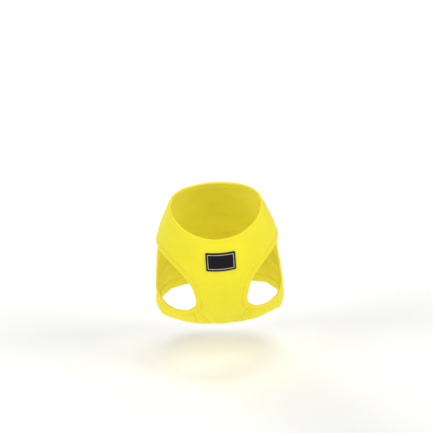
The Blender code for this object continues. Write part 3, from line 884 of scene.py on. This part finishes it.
underarm_arc = armhole_edge(SIDE_SEAM_TURN, BACK_TURN, UNDERARM_COLUMNS)
back_arc = armhole_edge(BACK_TURN, SHOULDER_SEAM_TURN + FULL_TURN, BACK_ROWS)
underarm_arc[0, 0] += GAP_TURN
back_arc[-1, 0] += GAP_TURN
back_side = side_seam(GAP_TURN, underarm_arc[0])
back_line = straight_edge(underarm_arc[-1], mirrored(underarm_arc[-1:], 180)[0], BACK_COLUMNS)
low_top = np.concatenate([underarm_arc, back_line[1:-1], mirrored(underarm_arc, 180)[::-1]])
hem_spread = (180 - back_side[0, 0]) / (180 - back_side[-1, 0])
back_hem = np.stack([180 + (low_top[:, 0] - 180) * hem_spread, np.zeros(len(low_top))], axis=-1)
ribs_patch = filled_patch(back_hem, low_top, back_side, mirrored(back_side, 180))
shoulder_top = np.array([SHOULDER_SEAM_NECK + GAP_TURN, 1.0])
shoulder = straight_edge(back_arc[-1], shoulder_top, SHOULDER_SEAM_ROWS)
back_edge = np.concatenate([back_arc, shoulder[1:]])
back_neck = straight_edge(shoulder_top, mirrored(shoulder_top[None], 180)[0], BACK_COLUMNS)
back_patch = filled_patch(back_line, back_neck, back_edge, mirrored(back_edge, 180))

back_cloth = panel_piece("back_cloth", [ribs_patch, back_patch], yellow_knit)
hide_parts("back_panel")
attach(back_cloth, "root")
back_topstitch = panel_topstitch("back_topstitch", SHOULDER_SEAM_NECK, SIDE_SEAM_HEM, 180, edge_thread)


# Armhole bands: a folded strip of the same knit round each armhole, wrapped over the panels' cut edge
# and topstitched through all layers near its outer edge. It looks slightly warmer, being doubled.

# The profile runs from the band's outer edge over the armhole's rim to its inner edge
Profile = namedtuple("Profile", "reach lift")
BAND_PROFILE = [
    Profile(0.0058, 0.00002),
    Profile(0.0056, 0.0003),
    Profile(0.00515, 0.00036),
    Profile(0.0047, 0.00026),
    Profile(0.0042, 0.00038),
    Profile(0.0031, 0.00046),
    Profile(0.002, 0.0004),
    Profile(0.0012, 0.00018),
    Profile(0.0006, -0.00018),
    Profile(0.0002, -0.00066),
    Profile(0.00005, -0.0011),
    Profile(0.0002, -0.00156),
    Profile(0.0006, -0.00186),
    Profile(0.0013, -0.00208),
    Profile(0.0023, -0.00216),
    Profile(0.0036, -0.00217),
    Profile(0.0048, -0.0021),
]
BAND_STITCHES = 78
BAND_STEPS = 4 * BAND_STITCHES
PROFILE_STEPS = 30
BAND_WALL = 0.00045
BAND_EDGE_ROLL = 0.8
TOPSTITCH_REACH = 0.0047
TOPSTITCH_LIFT = 0.00038
STITCH_DIMPLE = 0.00012
DIMPLE_WIDTH = 0.0009
BAND_YELLOW = (0.885, 0.745, 0.030)
BAND_DEEP_YELLOW = (0.860, 0.710, 0.027)
THREAD_YELLOW = (0.790, 0.640, 0.030)


def smooth_profile(profile, steps):
    """Evenly spaced points on a rounded line through a band's profile."""
    corners = np.array(profile)
    for _ in range(2):
        middles = (corners[:-1] + corners[1:]) / 2
        eased = (middles[:-1] + middles[1:] + 2 * corners[1:-1]) / 4
        corners = np.concatenate([corners[:1], eased, corners[-1:]])
    lengths = lengths_along(corners)
    wanted = np.linspace(0, lengths[-1], steps + 1)
    return np.stack([np.interp(wanted, lengths, corners[:, column]) for column in (0, 1)], axis=-1)


def band_piece(name, side, material):
    """Band round the armhole on one side, +1 or -1 in X. Its inner half lies on the panels and seams."""
    turns = even_turns(0, FULL_TURN, BAND_STEPS)[:-1]
    profile = smooth_profile(BAND_PROFILE, PROFILE_STEPS)
    stitch_round = np.linspace(0, 1, BAND_STEPS, endpoint=False)
    edge_length = length_round(bare_surface(*armhole_outline(turns)))
    rings = []
    for reach, lift in profile:
        angle, distance = beside_armhole(turns, reach)
        near_stitch = math.exp(-(((reach - TOPSTITCH_REACH) / DIMPLE_WIDTH) ** 2)) * (lift > 0)
        between = 0.5 - 0.5 * np.cos(2 * math.pi * BAND_STITCHES * stitch_round)
        dimple = -STITCH_DIMPLE * near_stitch * between
        inside = np.clip((-lift - CLOTH_WALL) / BAND_WALL, 0, 1)
        over_seams = inside * (panel_wall(side * angle, distance) - CLOTH_WALL)
        rings.append(cloth_point(side * angle, distance, lift + dimple - over_seams))
    grid = np.stack(rings, axis=1)
    over_edge = profile[:, 0] - profile[:, 1]
    pattern = np.stack(np.meshgrid(stitch_round * edge_length, over_edge, indexing="ij"), axis=-1)
    if side < 0:
        grid = grid[::-1]
        pattern = pattern[::-1]
    round_way = np.roll(grid, -1, axis=0) - np.roll(grid, 1, axis=0)
    normals = unit(np.cross(round_way, np.gradient(grid, axis=1)))
    number = np.arange(normals[..., 0].size).reshape(normals.shape[:2])
    faces = grid_faces(np.concatenate([number, number[:1]]).T)
    return cloth_sheet(name, grid, normals, faces, BAND_WALL, BAND_EDGE_ROLL, pattern, material)


band_knit = knit_material("yellow band knit", BAND_YELLOW, BAND_DEEP_YELLOW, KNIT_DEPTH)
yellow_thread = thread_material("yellow thread", THREAD_YELLOW)
for side, hand in ((1, "left"), (-1, "right")):
    band = band_piece(f"armhole_band_cloth_{hand}", side, band_knit)
    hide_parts(f"armhole_band_{hand}")
    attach(band, "root")
    turns = even_turns(0, FULL_TURN, BAND_STITCHES)[:-1]
    angle, distance = beside_armhole(turns, TOPSTITCH_REACH)
    centres = cloth_point(side * angle, distance, TOPSTITCH_LIFT)
    along = np.roll(centres, -1, axis=0) - np.roll(centres, 1, axis=0)
    up = cloth_outward(side * angle, distance)
    topstitch = stitch_row(f"armhole_topstitch_{hand}", centres, along, up, STITCH_LENGTH, yellow_thread)
    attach(topstitch, "root")


# Chest label: a small near-black woven patch with cut and melted edges, sewn on round its rim with
# black thread. A thin light grey border is woven in near the rim, and the field inside it is bare.
LABEL_WIDTH = 0.0255
LABEL_HEIGHT = 0.0156
LABEL_ANGLE = 0.9
LABEL_DISTANCE = 0.0150
LABEL_TURN = math.radians(1.0)
LABEL_CORNER = 0.0007
LABEL_THICKNESS = 0.0007
LABEL_BLACK = (0.0050, 0.0050, 0.0056)
LABEL_WEAVE_BLACK = (0.0090, 0.0090, 0.0100)
LABEL_EDGE_ROLL = 0.5
LABEL_THREAD_PITCH = 0.00035
WEAVE_DEPTH = 0.00005
RIM_BULGE = 0.00012
RIM_BULGE_WIDTH = 0.0009
BORDER_GREY = (0.42, 0.42, 0.43)
BORDER_LIGHT_GREY = (0.60, 0.60, 0.61)
BORDER_THREAD_PITCH = 0.00030
BORDER_INSET = 0.0014
BORDER_WIDTH = 0.00055
BORDER_CORNER = 0.0004
BORDER_LIFTS = (0.00006, 0.00016, 0.00006)
BORDER_WALL = 0.00015
BORDER_EDGE_ROLL = 0.2
THREAD_BLACK = (0.014, 0.014, 0.016)
LABEL_STITCH_INSET = 0.0008
LABEL_STITCH_CORNER = 0.0005
LABEL_STITCH_LIFT = 0.00014
LABEL_STITCH_LENGTH = 0.0015


def label_point(across, up, lift):
    """Point over the chest at a place on the label, measured from the label's middle."""
    centre_angle = np.array(LABEL_ANGLE + WORN_TURN)
    centre_distance = np.array(LABEL_DISTANCE)
    centre = bare_surface(centre_angle, centre_distance)
    normal = outward(centre_angle, centre_distance)
    right = np.array([1.0, 0.0, 0.0])
    right = unit(right - normal * right.dot(normal))
    upright = np.cross(normal, right)
    turned_right = right * math.cos(LABEL_TURN) + upright * math.sin(LABEL_TURN)
    turned_up = upright * math.cos(LABEL_TURN) - right * math.sin(LABEL_TURN)
    flat = centre + across[..., None] * turned_right + up[..., None] * turned_up
    angle, distance = place_on_tube(flat)
    return cloth_point(angle - WORN_TURN, distance, lift), outward(angle, distance)


def rounded_rectangle(width, height, corner, corner_steps, side_steps):
    """Points round a rectangle with rounded corners, counter-clockwise from its lower right."""
    arcs = []
    for number, (right, up) in enumerate([(1, -1), (1, 1), (-1, 1), (-1, -1)]):
        centre = np.array([right * (width / 2 - corner), up * (height / 2 - corner)])
        turns = math.pi / 2 * (number - 1 + np.linspace(0, 1, corner_steps + 1))
        arcs.append(centre + corner * np.stack([np.cos(turns), np.sin(turns)], axis=-1))
    lines = []
    for arc, next_arc in zip(arcs, arcs[1:] + arcs[:1]):
        side = np.linspace(arc[-1], next_arc[0], side_steps + 1)[1:-1]
        lines += [arc, side]
    return np.concatenate(lines)


def woven_material(name, colour, light_colour, thread_pitch):
    """Tight damask weave: fine crossing threads in two close shades."""
    material, shader = new_material(name)
    nodes = material.node_tree.nodes
    links = material.node_tree.links
    shader.inputs["Roughness"].default_value = 0.70
    shader.inputs["Specular IOR Level"].default_value = 0.14
    shader.inputs["Sheen Weight"].default_value = 0.03
    place = nodes.new("ShaderNodeUVMap")
    place.uv_map = "cloth"
    warp = wave_texture(material, place.outputs["UV"], "DIAGONAL", 0.22 / thread_pitch, distortion=0.4)
    weft = wave_texture(material, place.outputs["UV"], "Y", 0.31 / thread_pitch, distortion=0.0)
    weave = nodes.new("ShaderNodeMath")
    weave.operation = "MULTIPLY"
    links.new(warp.outputs["Fac"], weave.inputs[0])
    links.new(weft.outputs["Fac"], weave.inputs[1])
    colour_between(material, shader, weave.outputs["Value"], colour, light_colour)
    relief(material, shader, weave.outputs["Value"], 0.5, WEAVE_DEPTH)
    return material


def label_field():
    """Grid over the label, squared in the middle and following its rounded corners at the rim."""
    columns = 64
    rows = 40
    tiny = 1e-9
    half_size = np.array([LABEL_WIDTH, LABEL_HEIGHT]) / 2
    grid = np.meshgrid(np.linspace(-1, 1, columns + 1), np.linspace(-1, 1, rows + 1))
    flat = np.stack(grid, axis=-1) * half_size
    past_corner = np.abs(flat) - (half_size - LABEL_CORNER)
    in_corner = (past_corner > 0).all(axis=-1, keepdims=True)
    longest = np.maximum(past_corner.max(axis=-1, keepdims=True), tiny)
    pull = longest / np.maximum(np.linalg.norm(past_corner, axis=-1, keepdims=True), tiny)
    eased = np.sign(flat) * (half_size - LABEL_CORNER + past_corner * pull)
    return np.where(in_corner, eased, flat)


def label_sheet(name, flat, lift, faces, wall, edge_roll, material):
    """Sheet whose flat points follow the chest under them."""
    points, normals = label_point(flat[..., 0], flat[..., 1], lift)
    return cloth_sheet(name, points, normals, faces, wall, edge_roll, flat, material)


label_weave = woven_material("black label weave", LABEL_BLACK, LABEL_WEAVE_BLACK, LABEL_THREAD_PITCH)
flat = label_field()
rim_gap = (np.array([LABEL_WIDTH, LABEL_HEIGHT]) / 2 - np.abs(flat)).min(axis=-1)
label_lift = LABEL_THICKNESS + RIM_BULGE * np.exp(-((rim_gap / RIM_BULGE_WIDTH) ** 2))
faces = grid_faces(np.arange(rim_gap.size).reshape(rim_gap.shape))
label = label_sheet(
    "chest_label_patch", flat, label_lift, faces, LABEL_THICKNESS, LABEL_EDGE_ROLL, label_weave
)
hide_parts("chest_label")
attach(label, "root")

grey_weave = woven_material("grey border weave", BORDER_GREY, BORDER_LIGHT_GREY, BORDER_THREAD_PITCH)
border_rings = []
for inset in (BORDER_INSET, BORDER_INSET + BORDER_WIDTH / 2, BORDER_INSET + BORDER_WIDTH):
    width = LABEL_WIDTH - 2 * inset
    height = LABEL_HEIGHT - 2 * inset
    border_rings.append(rounded_rectangle(width, height, BORDER_CORNER, corner_steps=3, side_steps=24))
flat = np.stack(border_rings)
border_lift = LABEL_THICKNESS + np.array(BORDER_LIFTS)[:, None] * np.ones(flat.shape[1])
number = np.arange(border_lift.size).reshape(border_lift.shape)
faces = grid_faces(np.concatenate([number, number[:, :1]], axis=1))
border = label_sheet(
    "chest_label_border", flat, border_lift, faces, BORDER_WALL, BORDER_EDGE_ROLL, grey_weave
)
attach(border, "root")

black_thread = thread_material("black thread", THREAD_BLACK)
width = LABEL_WIDTH - 2 * LABEL_STITCH_INSET
height = LABEL_HEIGHT - 2 * LABEL_STITCH_INSET
rim_line = rounded_rectangle(width, height, LABEL_STITCH_CORNER, corner_steps=1, side_steps=9)
stitch_lift = np.full(len(rim_line), LABEL_THICKNESS + LABEL_STITCH_LIFT)
centres, up = label_point(rim_line[:, 0], rim_line[:, 1], stitch_lift)
along = np.roll(centres, -1, axis=0) - np.roll(centres, 1, axis=0)
label_stitch = stitch_row("chest_label_stitch", centres, along, up, LABEL_STITCH_LENGTH, black_thread)
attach(label_stitch, "root")
